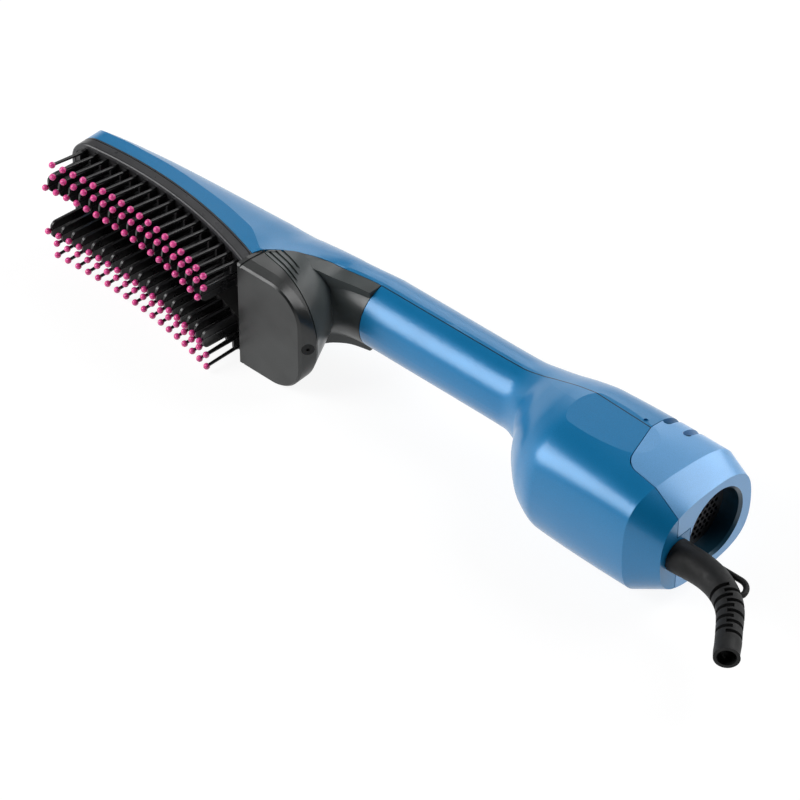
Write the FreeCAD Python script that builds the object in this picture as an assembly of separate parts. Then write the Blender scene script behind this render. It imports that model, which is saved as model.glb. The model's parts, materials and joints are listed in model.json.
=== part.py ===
"""Steam hair styling comb, in millimetres.

X runs from the comb's tip towards the cord, Y from the bristles towards the back, Z up. The comb lies on
its flank. It is drawn about its mid-plane, with the neck's axis along X and the ring between tank and neck
at X = 0. At the end it is moved so that the flat of the handle's lower flank is centred on the origin.
"""
import FreeCAD, Part
import math
import os

V = FreeCAD.Vector

# Clearances and walls
overrun = 6.0
seam_gap = 0.1
slide_gap = 0.3
fit_gap = 0.05
wall = 2.0
rib_wall = 1.6

# Neck and handle
neck_radius = 13.4
neck_length = 66.0
flare_length = 38.0
grip_length = 46.0
rear_taper_length = 8.0
handle_half_width = 23.6
handle_crown = 0.7
handle_back = 14.0
handle_front = 39.5
handle_middle = 11.0
crease_half_width = 22.8
crease_slant = 5.0
rear_half_width = 17.6
rear_back = 13.0
rear_front = 35.0
parting_offset = 1.5
parting_fall = 2.6
flare_place_shares = (0.0, 0.25, 0.5, 0.75, 1.0)
flare_width_shares = (0.02, 0.21, 0.53, 0.83, 1.0)
flare_front_shares = (0.0, 0.11, 0.56, 0.87, 1.0)
neck_hold_shares = (0.0, 0.5, 0.85)
grip_narrow_share = 0.25
grip_fill_share = 0.6
circle_share = 0.5523
back_full_share = 0.74
front_full_share = 0.7
box_full_share = 0.84
rear_full_share = 0.76

# Head: the comb's outline, its hollow face and the domed back
head_start = 38.6
head_length = 95.6
head_half_width = 23.5
head_end_narrowing = 0.9
head_corner_radius = 9.0
head_back_fall = 18.2
face_radius = 216.0
face_low_share = 0.68
rim_drop = 17.6
side_depth = 4.0
dome_overhang = 0.8
dome_full_share = 0.59
dome_crease_share = 0.16
head_place_shares = (0.12, 0.35, 0.6, 0.8, 0.92, 0.975, 1.02)
head_nose_shares = (0.0, 0.0, 0.0, 0.04, 0.13, 0.32, 0.64)
shoulder_place_shares = (0.0, 0.2, 0.375, 0.5, 0.64, 0.83, 1.0)
shoulder_half_shares = (0.0, 0.05, 0.19, 0.41, 0.64, 0.86, 1.0)
shoulder_foot_shares = (0.0, 0.05, 0.16, 0.33, 0.55, 0.8, 1.0)
shoulder_lap = 1.5

# Comb frame, bristle banks and the channel between them
frame_depth = 5.0
frame_wall = 1.8
frame_ledge = 2.2
frame_lip = 3.0
frame_round = 0.8
frame_line_place = 0.6
frame_line_width = 0.4
frame_line_depth = 0.4
lip_wall = 1.4
base_recess = 0.3
base_thickness = 2.2
channel_half_width = 7.0
channel_wall = 1.0
channel_depth = 10.0
channel_flange = 2.0
station_count = 18
station_pitch = 5.0
first_station = 3.2
bristle_lean_degrees = 6.2
fin_thickness = 1.0
fin_height = 5.6
fin_corner = 2.0
fin_edge = 1.1
blade_plate_height = 17.9
blade_plate_inner = 3.2
blade_plate_outer = 4.4
blade_plate_corner = 2.4
row_inner = 10.2
row_outer_edge = 3.3
row_place_shares = (0.5, 1.0)
row_splay_shares = (0.04, 0.085)
pin_root_radius = 0.75
pin_top_radius = 0.6
pin_length = 16.9
pin_start = 1.0
inner_pin_extra = 1.3
tip_radius = 1.25
tip_sink = 1.1
air_slot_width = 2.2
air_slot_margin = 0.8
steam_hole_radius = 1.2
steam_hole_count = 8

# Steam parts inside the head
chamber_length = 58.0
chamber_half_width = 6.0
chamber_depth = 4.5
chamber_far_share = 0.86
feed_tube_radius = 1.6
feed_tube_bore = 0.9
feed_bend_radius = 3.0
feed_side = 15.4
feed_entry = 5.0
port_from_comb = 5.6
valve_radius = 2.6
valve_height = 2.2

# Tank
tank_front = 36.0
tank_tail = 8.0
tank_corner_radius = 14.0
tank_shoulder_radius = 21.5
tank_half_width = 23.1
chamfer_rise = 5.0
chamfer_run = 3.8
tank_back_level = 2.0
tank_back_half_width = 19.0
tank_back_tail = 18.0
tank_back_corner = 18.5
tank_edge_front = 28.0
tank_edge_share = 0.39
trumpet_length = 18.0
trumpet_radius = 18.0
trumpet_hold_share = 0.62
front_bevel = 0.7
joint_level = 23.6
joint_slope_degrees = -11.3
joint_groove_width = 0.5
groove_count = 3
groove_width = 0.9
groove_depth = 0.7
groove_length = 19.5
groove_spacing = 2.1
groove_start = 3.4
groove_stagger = 1.0
rim_groove_width = 0.8
rim_groove_depth = 0.5
rim_groove_place = 1.8
groove_level = 22.3
groove_slope_degrees = -12.5
plug_head_radius = 2.4
plug_head_thickness = 1.2
plug_stem_radius = 1.7
plug_stem_length = 3.2
plug_dimple = 0.7

# Air duct and heater
duct_wall = 1.2
duct_gap = 0.8
duct_radius = 11.0
duct_engagement = 5.0
duct_place_shares = (0.0, 0.14, 0.4, 0.7, 1.0)
duct_width_shares = (1.0, 0.97, 0.87, 1.0, 1.14)
sleeve_radius = 11.0
sleeve_wall = 0.7
sleeve_gap = 1.0
mica_thickness = 0.8
mica_margin = 2.0

# Blower
blower_axis = 9.0
shroud_radius = 18.6
shroud_wall = 1.2
shroud_length = 30.0
holder_wall = 1.1
holder_length = 12.0
vane_count = 5
vane_thickness = 1.2
motor_radius = 12.0
motor_length = 24.0
motor_nose_radius = 4.0
motor_nose_length = 2.0
motor_overhang = 10.0
shaft_radius = 1.5
shaft_tail = 1.0
fan_gap = 1.2
fan_length = 10.0
fan_hub_radius = 5.5
fan_tip_gap = 0.6
blade_count = 7
blade_thickness = 1.1
blade_root_degrees = 50.0
blade_tip_degrees = 28.0
rib_places = (4.0, 14.0)
rib_front = 29.0

# Circuit board in the handle
board_lead = 4.0
board_length = 38.0
board_half_width = 12.0
board_thickness = 1.6
board_gap = 0.6
post_radius = 2.2
post_inset = 3.5
relay_size = 10.0
relay_height = 3.2

# Rear cap and inlet filter
cap_reach = 23.5
cap_lean = 5.5
cap_corner_level = 23.2
cap_end_level = 26.5
cap_corner_radius = 7.0
rear_wall = 2.2
mouth_radius = 13.2
mouth_axis = 5.6
mouth_collar_wall = 1.5
mouth_collar_depth = 9.0
mouth_bevel = 1.0
notch_half_width = 7.2
notch_level = 19.7
vent_width = 3.2
vent_bridge = 4.0
vent_level = 1.6
vent_pitch = 8.7
dot_radius = 0.9
dot_depth = 0.6
dot_from_cap = 3.5
dot_level = 2.3
filter_thickness = 1.2
filter_rim = 1.4
filter_hole = 1.7
filter_pitch = 2.4

# Controls on the back
control_gap = 0.6
button_radius = 4.3
button_top = 0.8
button_flange = 1.3
button_flange_thickness = 1.4
button_travel = 1.4
button_body_length = 12.0
button_body_width = 7.0
button_body_height = 3.4
knob_stem_length = 8.0
knob_stem_width = 3.8
knob_length = 12.0
knob_width = 7.2
knob_height = 1.1
knob_clearance = 0.6
knob_rib_count = 5
knob_rib_depth = 0.4
knob_foot_length = 9.0
knob_foot_width = 8.4
knob_foot_thickness = 1.8
knob_travel = 6.0
switch_length = 16.0
switch_width = 8.0
switch_height = 5.0

# Cord end
relief_axis = 26.5
relief_base_radius = 6.1
relief_neck_radius = 5.0
relief_flange = 1.4
relief_straight = 9.3
relief_bend_radius = 30.0
relief_bend_degrees = 54.0
relief_tail = 18.0
relief_end_radius = 4.6
relief_bore_radius = 2.9
relief_mouth_radius = 3.4
relief_mouth_depth = 7.6
relief_collar = 6.0
relief_seam_degrees = 22.5
slit_count = 10
slit_width = 1.5
slit_start_share = 0.46
slit_reach_share = 0.25
loop_radius = 1.1
loop_level = 21.6
loop_bend_radius = 5.0
loop_start = 5.0
loop_straight = 19.0
loop_return = 8.0
clamp_from_rear = 15.0
clamp_length = 6.0
clamp_half_width = 12.0
clamp_thickness = 4.4
clamp_screw_offset = 9.0
clamp_boss_radius = 3.0

# Fasteners
screw_radius = 1.5
screw_head_radius = 2.7
screw_head_height = 1.8
screw_gap = 0.6
screw_seat = 20.0
screw_plug_radius = 2.9
boss_radius = 4.4
clamp_screw_length = 8.0

# Places that follow from the sizes above
crease_x = neck_length + flare_length + grip_length
rear_x = crease_x + rear_taper_length
tip_x = -(head_start + head_length)
face_x = -(head_start + face_low_share * head_length)
face_y = -(rim_drop + face_radius)
back_slope = head_back_fall / (head_start + head_length)
ledge_radius = face_radius - frame_depth + base_recess + base_thickness
base_front_radius = ledge_radius - base_thickness
reach = rear_x - tip_x
cap_start = crease_x - cap_reach
shroud_start = neck_length + flare_length
screw_place = (shroud_start - motor_overhang - motor_nose_length - shaft_tail - boss_radius - screw_gap)
knob_place = screw_place - boss_radius - control_gap - rib_wall - seam_gap - switch_length / 2
button_end = knob_place - switch_length / 2 - 2 * (rib_wall + seam_gap) - control_gap
button_place = button_end - button_body_length / 2
heater_start = duct_engagement + sleeve_gap
heater_end = button_end - button_body_length - seam_gap - rib_wall - control_gap
board_start = shroud_start - board_lead
board_level = blower_axis + shroud_radius + board_gap + relay_height + board_thickness
lean = math.radians(bristle_lean_degrees)
origin = V(screw_place + (crease_x - screw_place) / 2, -handle_middle, -handle_half_width)


# Small helpers

def block(x0, x1, y0, y1, z0, z1):
    return Part.makeBox(x1 - x0, y1 - y0, z1 - z0, V(x0, y0, z0))


def rod(radius, start, end):
    return Part.makeCylinder(radius, (end - start).Length, start, end - start)


def rod_x(radius, x0, x1, y, z=0):
    return rod(radius, V(x0, y, z), V(x1, y, z))


def rod_y(radius, y0, y1, x, z=0):
    return rod(radius, V(x, y0, z), V(x, y1, z))


def tube_x(outer, inner, x0, x1, y):
    return rod_x(outer, x0, x1, y).cut(rod_x(inner, x0 - overrun, x1 + overrun, y))


def curve(*poles):
    bezier = Part.BezierCurve()
    bezier.setPoles(list(poles))
    return bezier.toShape()


def line(start, end):
    return Part.LineSegment(start, end).toShape()


def slopes_along(places, values):
    """Slopes for a smooth track through values that never swings past them."""
    steps = [b - a for a, b in zip(places, places[1:])]
    rises = [(b - a) / step for a, b, step in zip(values, values[1:], steps)]
    slopes = [rises[0]]
    for before, after, step, following in zip(rises, rises[1:], steps, steps[1:]):
        if before * after <= 0:
            slopes.append(0)
        else:
            weight = 2 * following + step
            other = following + 2 * step
            slopes.append((weight + other) / (weight / before + other / after))
    return slopes + [rises[-1]]


def pole_track(points, places):
    """Poles of a smooth curve that passes each point at its place."""
    slopes_x = slopes_along(places, [p.x for p in points])
    slopes_y = slopes_along(places, [p.y for p in points])
    slopes_z = slopes_along(places, [p.z for p in points])
    poles = []
    for index, point in enumerate(points):
        way = V(slopes_x[index], slopes_y[index], slopes_z[index])
        if index == 0:
            poles.append(point)
        else:
            poles.append(point - way * ((places[index] - places[index - 1]) / 3))
        if index == len(points) - 1:
            poles.append(point)
        else:
            poles.append(point + way * ((places[index + 1] - places[index]) / 3))
    return poles


def ring_wire(ring):
    """Closed wire from a ring of poles, three for each edge."""
    closed = ring + ring[:1]
    return Part.Wire([curve(*closed[start:start + 4]) for start in range(0, len(ring), 3)])


def skin(rings):
    """Solid through rings of poles across X, smooth from ring to ring."""
    rings = sorted(rings, key=lambda ring: ring[0].x)
    knots = [ring[0].x for ring in rings]
    tracks = [pole_track([ring[index] for ring in rings], knots) for index in range(len(rings[0]))]
    tracks.append(tracks[0])
    counts = [4] + [2] * (len(rings) - 2) + [4]
    faces = [Part.Face(ring_wire(rings[0])), Part.Face(ring_wire(rings[-1]))]
    for start in range(0, len(tracks) - 1, 3):
        surface = Part.BSplineSurface()
        surface.buildFromPolesMultsKnots(tracks[start:start + 4], [4, 4], counts, [0, 1], knots,
                                         False, False, 3, 3)
        faces.append(surface.toShape())
    shell = Part.makeShell(faces)
    shell.sewShape()
    solid = Part.Solid(shell)
    return solid if solid.Volume > 0 else solid.reversed()


def straight(start, end):
    """Poles of a straight edge, without its last."""
    return [start, mix(start, end, 1 / 3), mix(start, end, 2 / 3)]


def loft(wires, ruled=False):
    return Part.makeLoft(wires, True, ruled)


def polygon(points):
    return Part.Face(Part.makePolygon(points + points[:1]))


def mix(first, last, share):
    return first + (last - first) * share


def both_sides(shape):
    return [shape, shape.mirror(V(0, 0, 0), V(0, 0, 1))]


def one_solid(shape):
    return max(shape.Solids, key=lambda solid: solid.Volume)


# Neck and handle

def round_section(x, back, front, middle, half, back_full, front_full):
    """Ring across X: four quarter curves between the flanks, the back and the front."""
    top = V(x, -middle, half)
    rear = V(x, back, 0)
    low = V(x, -middle, -half)
    fore = V(x, -front, 0)
    depth = V(0, (back + middle) * back_full, 0)
    fall = V(0, (front - middle) * front_full, 0)
    back_width = V(0, 0, half * back_full)
    front_width = V(0, 0, half * front_full)
    return [
        top, top + depth, rear + back_width,
        rear, rear - back_width, low + depth,
        low, low - fall, fore - front_width,
        fore, fore + front_width, top - fall,
    ]


def handle_section(x, width_share, front_share, half, inset, fill=0.0):
    """Ring of the handle; fill makes it boxier."""
    back = mix(neck_radius, handle_back, width_share) - inset
    front = mix(neck_radius, handle_front, front_share) - inset
    back_full = mix(mix(circle_share, back_full_share, width_share), box_full_share, fill)
    front_full = mix(mix(circle_share, front_full_share, width_share), box_full_share, fill)
    return round_section(x, back, front, handle_middle * front_share, half - inset, back_full, front_full)


def crease_section(inset):
    """Ring where the grip ends, leaning towards the comb at the front."""
    ring = handle_section(crease_x, 1, 1, crease_half_width, inset, 1)
    depth = handle_back + handle_front
    return [V(p.x - crease_slant * (handle_back - p.y) / depth, p.y, p.z) for p in ring]


def handle_solid(inset):
    """Neck and handle, closed at the rear; inset gives the hollow inside."""
    wide = handle_half_width + handle_crown
    hold = overrun if inset else 0
    sections = []
    for share in neck_hold_shares:
        x = share * neck_length - (hold if share == 0 else 0)
        sections.append(handle_section(x, 0, 0, neck_radius, inset))
    for place, width, front in zip(flare_place_shares, flare_width_shares, flare_front_shares):
        x = neck_length + place * flare_length
        sections.append(handle_section(x, width, front, mix(neck_radius, wide, width), inset))
    half = mix(wide, crease_half_width, grip_narrow_share)
    middle = neck_length + flare_length + grip_length / 2
    sections.append(handle_section(middle, 1, 1, half, inset, grip_fill_share))
    sections.append(crease_section(inset))
    end = rear_x - (rear_wall if inset else 0)
    taper = skin([
        crease_section(inset),
        round_section(end, rear_back - inset, rear_front - inset, handle_middle,
                      rear_half_width - inset, rear_full_share, rear_full_share),
    ])
    flat = handle_half_width - inset
    slab = block(-reach, reach, -reach, reach, -flat, flat)
    return skin(sections).fuse(taper).common(slab)


# Head: arcs about one axis parallel to Z give the hollow face

def face_level(x, radius=face_radius):
    return face_y + math.sqrt(radius ** 2 - (x - face_x) ** 2)


def face_cylinder(radius):
    return Part.makeCylinder(radius, 2 * reach, V(face_x, face_y, -reach), V(0, 0, 1))


def shell_between(radius_in, radius_out):
    return face_cylinder(radius_out).cut(face_cylinder(radius_in))


def head_half(x):
    """Half width of the comb: a gentle barrel, widest at mid-length."""
    middle = -(head_start + head_length / 2)
    offset = (x - middle) / (head_length / 2)
    return head_half_width - head_end_narrowing * offset ** 2


def head_outline(inset, near=0.0):
    """The comb seen from the front, drawn in by inset, as a prism along Y; near trims its tank end."""
    near_x = -head_start - near
    far_x = tip_x + inset
    middle_x = (near_x + far_x) / 2
    radius = head_corner_radius - inset
    side = head_half(tip_x + head_corner_radius) - inset
    near_side = head_half(-head_start) - inset
    tangent_x = far_x + radius
    start = V(near_x, 0, -near_side)
    corner_low = V(tangent_x, 0, -side)
    end_low = V(far_x, 0, -side + radius)
    turn = radius * math.sqrt(0.5)
    turn_low = V(tangent_x - turn, 0, -side + radius - turn)
    mirror = [V(p.x, 0, -p.z) for p in (end_low, turn_low, corner_low, start)]
    middle_low = V(middle_x, 0, -(head_half(middle_x) - inset))
    wire = Part.Wire([
        Part.Arc(start, middle_low, corner_low).toShape(),
        Part.Arc(corner_low, turn_low, end_low).toShape(),
        line(end_low, mirror[0]),
        Part.Arc(mirror[0], mirror[1], mirror[2]).toShape(),
        Part.Arc(mirror[2], V(middle_x, 0, -middle_low.z), mirror[3]).toShape(),
        line(mirror[3], start),
    ])
    prism = Part.Face(wire).extrude(V(0, 2 * reach, 0))
    prism.translate(V(0, -reach, 0))
    return prism


def edge_level(x):
    """Level of the edge between tank and back cover at a place along the shoulder."""
    low, high = 0.0, 1.0
    for _ in range(40):
        t = (low + high) / 2
        along = 3 * (1 - t) ** 2 * t * tank_edge_share + 3 * (1 - t) * t ** 2 + t ** 3
        if along * head_start < -x:
            low = t
        else:
            high = t
    across = 3 * (1 - low) * low ** 2 * (1 - tank_edge_share) + low ** 3
    return -mix(parting_offset, tank_edge_front, across)


def dome_section(x, back, foot, half, floor, share=1.0):
    """An arch across X: domed back, straight flanks down to the floor; share 0 makes the back round."""
    top = V(x, foot, half)
    crown = V(x, back, 0)
    full = mix(circle_share, dome_full_share, share)
    crease = dome_crease_share * share
    lift = (back - foot) * full
    lean_in = V(0, lift, -half * crease)
    spread = V(0, 0, half * full)
    low = V(x, foot, -half)
    low_floor = V(x, floor, -half)
    top_floor = V(x, floor, half)
    ring = [top, top + lean_in, crown + spread]
    ring += [crown, crown - spread, V(x, foot + lift, -half * (1 - crease))]
    return ring + straight(low, low_floor) + straight(low_floor, top_floor) + straight(top_floor, top)


def dome_solid(inset, sink=0.0):
    """Back of the shoulder and head; inset gives the hollow inside, sink lowers the flanks' feet."""
    near_foot = face_level(-head_start) + side_depth
    sections = []
    if inset:
        sections.append(dome_section(overrun, neck_radius - inset, 0, neck_radius - inset,
                                     -parting_offset - sink, 0))
    for place, half_share, foot_share in zip(shoulder_place_shares, shoulder_half_shares,
                                             shoulder_foot_shares):
        x = -place * head_start
        half = mix(neck_radius, head_half(-head_start), half_share) - inset
        back = neck_radius + back_slope * x - inset
        floor = edge_level(x) - place * shoulder_lap - sink
        sections.append(dome_section(x, back, near_foot * foot_share, half, floor, place))
    for place, nose in zip(head_place_shares, head_nose_shares):
        x = -(head_start + place * head_length)
        foot = face_level(x) + side_depth
        back = mix(neck_radius + back_slope * x, foot, nose) - inset
        floor = face_level(x) - frame_depth - sink
        sections.append(dome_section(x, back, foot, head_half(x) + dome_overhang - inset, floor))
    outline = head_outline(inset).fuse(block(-head_start, overrun, -reach, reach, -reach, reach))
    return skin(sections).common(outline)


# Tank: D-shaped bulge that grows out of the neck

def tank_outline(level, tail, half, corner, inset):
    near_x = -head_start + inset
    tail_x = -tail - inset
    side = half - inset
    radius = corner - inset
    turn = radius * (1 - math.sqrt(0.5))
    low = V(tail_x - radius, -level, -side)
    low_end = V(tail_x, -level, -side + radius)
    high_end = V(tail_x, -level, side - radius)
    high = V(tail_x - radius, -level, side)
    return Part.Wire([
        line(V(near_x, -level, -side), low),
        Part.Arc(low, V(tail_x - turn, -level, -side + turn), low_end).toShape(),
        line(low_end, high_end),
        Part.Arc(high_end, V(tail_x - turn, -level, side - turn), high).toShape(),
        line(high, V(near_x, -level, side)),
        line(V(near_x, -level, side), V(near_x, -level, -side)),
    ])


def tank_bulge(inset):
    tail_mid = tank_tail - chamfer_run
    bevel_share = front_bevel / chamfer_rise
    bevel_tail = mix(tank_tail, tail_mid, bevel_share)
    bevel_corner = mix(tank_corner_radius, tank_shoulder_radius, bevel_share)
    return loft([
        tank_outline(tank_front, tank_tail, tank_half_width, tank_corner_radius, inset + front_bevel),
        tank_outline(tank_front - front_bevel, bevel_tail, tank_half_width, bevel_corner, inset),
        tank_outline(tank_front - chamfer_rise, tail_mid, tank_half_width, tank_shoulder_radius, inset),
        tank_outline(tank_back_level, tank_back_tail, tank_back_half_width, tank_back_corner, inset),
    ], True)


def tank_trumpet(inset):
    """Neck of the tank: round at the ring, opening towards the bulge."""
    hold = V(-trumpet_length * trumpet_hold_share, neck_radius - inset, 0)
    mouth = V(-trumpet_length, trumpet_radius - inset, 0)
    ring = V(0, neck_radius - inset, 0)
    profile = Part.Wire([
        line(V(0, 0, 0), ring),
        curve(ring, hold, mouth),
        line(mouth, V(-trumpet_length, 0, 0)),
        line(V(-trumpet_length, 0, 0), V(0, 0, 0)),
    ])
    return Part.Face(profile).revolve(V(0, 0, 0), V(1, 0, 0), 360)


def tank_region(gap):
    """Everything in front of the edge between tank and back cover, as a prism along Z."""
    start = V(-gap, -parting_offset - gap, -reach)
    end = V(-head_start + gap, -tank_edge_front - gap, -reach)
    first = start + V(-(head_start - gap) * tank_edge_share, 0, 0)
    second = end + V(0, (tank_edge_front - parting_offset) * tank_edge_share, 0)
    outer_left = V(end.x, -reach, -reach)
    outer_right = V(start.x, -reach, -reach)
    wire = Part.Wire([
        curve(start, first, second, end),
        line(end, outer_left),
        line(outer_left, outer_right),
        line(outer_right, start),
    ])
    return Part.Face(wire).extrude(V(0, 0, 2 * reach))


def chamfer_frame():
    """Middle of the tank's chamfer and the direction it faces."""
    middle = V(-tank_tail + chamfer_run / 2, -tank_front + chamfer_rise / 2, 0)
    facing = V(chamfer_rise, -chamfer_run, 0).normalize()
    return middle, facing


def make_filler_plug():
    middle, facing = chamfer_frame()
    seat = middle - facing * (plug_head_thickness - fit_gap)
    head = rod(plug_head_radius, seat, seat + facing * plug_head_thickness)
    stem = rod(plug_stem_radius, seat - facing * plug_stem_length, seat)
    dimple = Part.makeSphere(plug_dimple, seat + facing * plug_head_thickness)
    return head.fuse(stem).cut(dimple)


def tank_shell():
    """The whole hollow tank, before it is split into its body and its front."""
    bulge, trumpet, dome = tank_forms(0)
    body = bulge.fuse([trumpet, dome]).common(tank_region(slide_gap))
    body = body.cut(duct_solid(-slide_gap))
    hollow = tank_bulge(wall).common(tank_region(slide_gap + wall)).cut(duct_solid(-slide_gap - wall))
    hollow = hollow.cut(block(-reach, reach, -reach, wall - tank_front, -reach, reach))
    body = body.cut(hollow)
    middle, facing = chamfer_frame()
    seat = middle - facing * plug_head_thickness
    inner = seat - facing * (plug_stem_length + overrun)
    body = body.cut([
        rod(plug_head_radius + fit_gap, seat, middle + facing * overrun),
        rod(plug_stem_radius + fit_gap, inner, seat),
        rod_y(feed_tube_bore, valve_seat() - overrun, overrun, port_x(), feed_side),
        rod_y(valve_radius + slide_gap, valve_seat(), overrun, port_x(), feed_side),
    ])
    return body.cut(tank_grooves())


def tank_front_space(shift):
    """Everything in front of the slanted joint between the tank's body and its front."""
    space = block(-reach, reach, -reach, 0, -reach, reach)
    space.rotate(V(0, 0, 0), V(0, 0, 1), joint_slope_degrees)
    space.translate(V(-head_start, shift - joint_level, 0))
    return space


def make_water_tank():
    return one_solid(tank_shell().cut(tank_front_space(seam_gap / 2)))


def make_tank_front_panel():
    """The tank's front: a dished cover with the filler hole in its chamfer."""
    return one_solid(tank_shell().common(tank_front_space(-seam_gap / 2)))


def tank_forms(inset):
    """The forms that make up the tank's outside, before they are joined and trimmed."""
    return tank_bulge(inset), tank_trumpet(inset), dome_solid(inset, overrun)


def tank_grooves():
    """Finger grooves on each flank, a groove beside the comb and one along the joint of the front."""
    start = -head_start + rim_groove_place
    ring = block(start, start + rim_groove_width, -reach, 0, -reach, reach)
    half_width = joint_groove_width / 2
    seam = tank_front_space(half_width).cut(tank_front_space(-half_width))
    rim = tank_forms(rim_groove_depth)
    grooves = [ring.cut(rim), seam.cut(rim)]
    core = tank_forms(groove_depth)
    for index in range(groove_count):
        start = V(-head_start + groove_start + index * groove_stagger,
                  -groove_level + index * groove_spacing, 0)
        cut = block(0, groove_length, -groove_width / 2, groove_width / 2, 0, overrun)
        cut.rotate(V(0, 0, 0), V(0, 0, 1), groove_slope_degrees)
        cut.translate(start + V(0, 0, tank_half_width - overrun / 2))
        grooves += both_sides(cut.cut(core))
    return grooves


def port_x():
    return -head_start + port_from_comb


def valve_seat():
    """Level of the flat pad that the valve stands on, below the sloping edge of the tank."""
    return edge_level(port_x() - valve_radius) - 2 * slide_gap


def make_tank_valve():
    level = valve_seat() + fit_gap
    ring = rod_y(valve_radius, level, level + valve_height, port_x(), feed_side)
    return ring.cut(rod_y(feed_tube_bore, level - overrun, level + valve_height + overrun, port_x(), feed_side))


# Air duct and heater

def duct_solid(inset):
    """Duct from the neck, behind the tank, into the head; a negative inset grows it."""
    radius = duct_radius - inset
    sections = [round_section(duct_engagement, radius, radius, 0, radius, circle_share, circle_share)]
    for index, (place, width_share) in enumerate(zip(duct_place_shares, duct_width_shares)):
        x = -place * head_start
        back = neck_radius + back_slope * x - wall - duct_gap
        front = edge_level(x) + duct_gap
        if index < 2:
            front = -mix(duct_radius, neck_radius - wall - duct_gap, place)
        half = duct_radius * width_share - inset
        hub = V(x, (back + front) / 2, 0)
        depth = (back - front) / 2 - inset
        sections.append(round_section(x, hub.y + depth, -(hub.y - depth), -hub.y, half,
                                      circle_share, circle_share))
    return skin(sections)


def make_air_duct():
    return duct_solid(0).cut(duct_solid(duct_wall))


def make_heater_sleeve():
    return tube_x(sleeve_radius, sleeve_radius - sleeve_wall, heater_start, heater_end, 0)


def make_heater_core():
    """Two mica cards crossed on the neck's axis."""
    start = heater_start + mica_margin
    end = heater_end - mica_margin
    half = sleeve_radius - sleeve_wall - slide_gap
    thick = mica_thickness / 2
    return block(start, end, -half, half, -thick, thick).fuse(block(start, end, -thick, thick, -half, half))


# Shells

def parted(shape, side, gap):
    """The part of a shape behind (1) or in front of (-1) the parting surface, which falls along the grip."""
    shift = side * gap / 2 - parting_offset
    edge = [
        V(-reach, shift, -reach),
        V(neck_length, shift, -reach),
        V(cap_start, shift - parting_fall, -reach),
        V(reach, shift - parting_fall, -reach),
    ]
    far = [V(reach, side * reach, -reach), V(-reach, side * reach, -reach)]
    return shape.common(polygon(edge + far).extrude(V(0, 0, 2 * reach)))


def handle_shell():
    return handle_solid(0).cut(handle_solid(wall))


def blower_ribs(low, high):
    """Ribs across the shell that cradle the blower's shroud, between two levels."""
    ribs = []
    hollow = handle_solid(wall - seam_gap)
    for place in rib_places:
        x = shroud_start + place
        slab = block(x, x + rib_wall, low, high, -reach, reach).common(hollow)
        ribs.append(slab.cut(rod_x(shroud_radius + seam_gap, x - overrun, x + overrun, -blower_axis)))
    return ribs


def switch_ribs(place, length, low):
    """Pair of ribs under the back that hold a switch body between them."""
    hollow = handle_solid(wall - seam_gap)
    half = length / 2 + seam_gap
    width = switch_width / 2
    ribs = block(place - half - rib_wall, place + half + rib_wall, low, neck_radius, -width, width)
    return ribs.cut(block(place - half, place + half, -reach, reach, -reach, reach)).common(hollow)


def make_back_cover():
    back = handle_shell().common(block(0, cap_start, -reach, reach, -reach, reach))
    head = dome_solid(0).cut([dome_solid(wall, overrun), tank_region(0), face_cylinder(face_radius)])
    boss = rod_y(boss_radius, -reach, reach, screw_place).common(handle_solid(wall / 2))
    adds = [boss] + blower_ribs(-reach, reach)
    adds.append(switch_ribs(knob_place, switch_length, switch_top() - switch_height))
    adds.append(switch_ribs(button_place, button_body_length, button_body_top() - button_body_height))
    cover = parted(back.fuse(adds), 1, seam_gap).fuse(head)
    stem_half = (knob_stem_length + knob_travel) / 2 + slide_gap
    stem_side = knob_stem_width / 2 + slide_gap
    pilot = rod_y(screw_radius + fit_gap, -reach, screw_depth() + seam_gap, screw_place)
    dot_x = cap_start - dot_from_cap
    dot = rod(dot_radius, V(dot_x, -dot_level, handle_half_width - dot_depth), V(dot_x, -dot_level, reach))
    return one_solid(cover.cut(both_sides(dot) + [
        block(knob_place - stem_half, knob_place + stem_half, 0, reach, -stem_side, stem_side),
        rod_y(button_radius + slide_gap, 0, reach, button_place),
        pilot,
    ]))


def screw_depth():
    """Level of the housing screw's point, inside the cover's boss."""
    return handle_back - wall - screw_head_height


def make_front_housing():
    boss = rod_y(boss_radius, -reach, reach, screw_place).common(handle_solid(wall / 2))
    adds = [boss] + blower_ribs(-rib_front, reach) + board_posts() + clamp_bosses()
    shell = parted(handle_shell().fuse(adds), -1, seam_gap).cut(cap_region(0))
    return one_solid(shell.cut([
        rod_y(screw_head_radius + slide_gap, -reach, -screw_seat, screw_place),
        rod_y(screw_plug_radius + fit_gap, -reach, -screw_seat - screw_head_height - seam_gap, screw_place),
        rod_y(screw_radius + fit_gap, -reach, reach, screw_place),
        rod_x(relief_neck_radius + fit_gap, crease_x, rear_x + overrun, -relief_axis),
    ] + [rod_y(screw_radius + fit_gap, -clamp_level() - clamp_screw_length, reach, clamp_x(), z)
         for z in (-clamp_screw_offset, clamp_screw_offset)]))


def make_housing_screw():
    head = rod_y(screw_head_radius, -screw_seat - screw_head_height, -screw_seat, screw_place)
    shank = rod_y(screw_radius, -screw_seat, screw_depth(), screw_place)
    return head.fuse(shank)


def make_screw_plug():
    """Plug over the housing screw, its outer face in line with the flare."""
    level = -screw_seat - screw_head_height - seam_gap
    return rod_y(screw_plug_radius, -reach, level, screw_place).common(handle_solid(0))


# Rear cap and inlet filter

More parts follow.
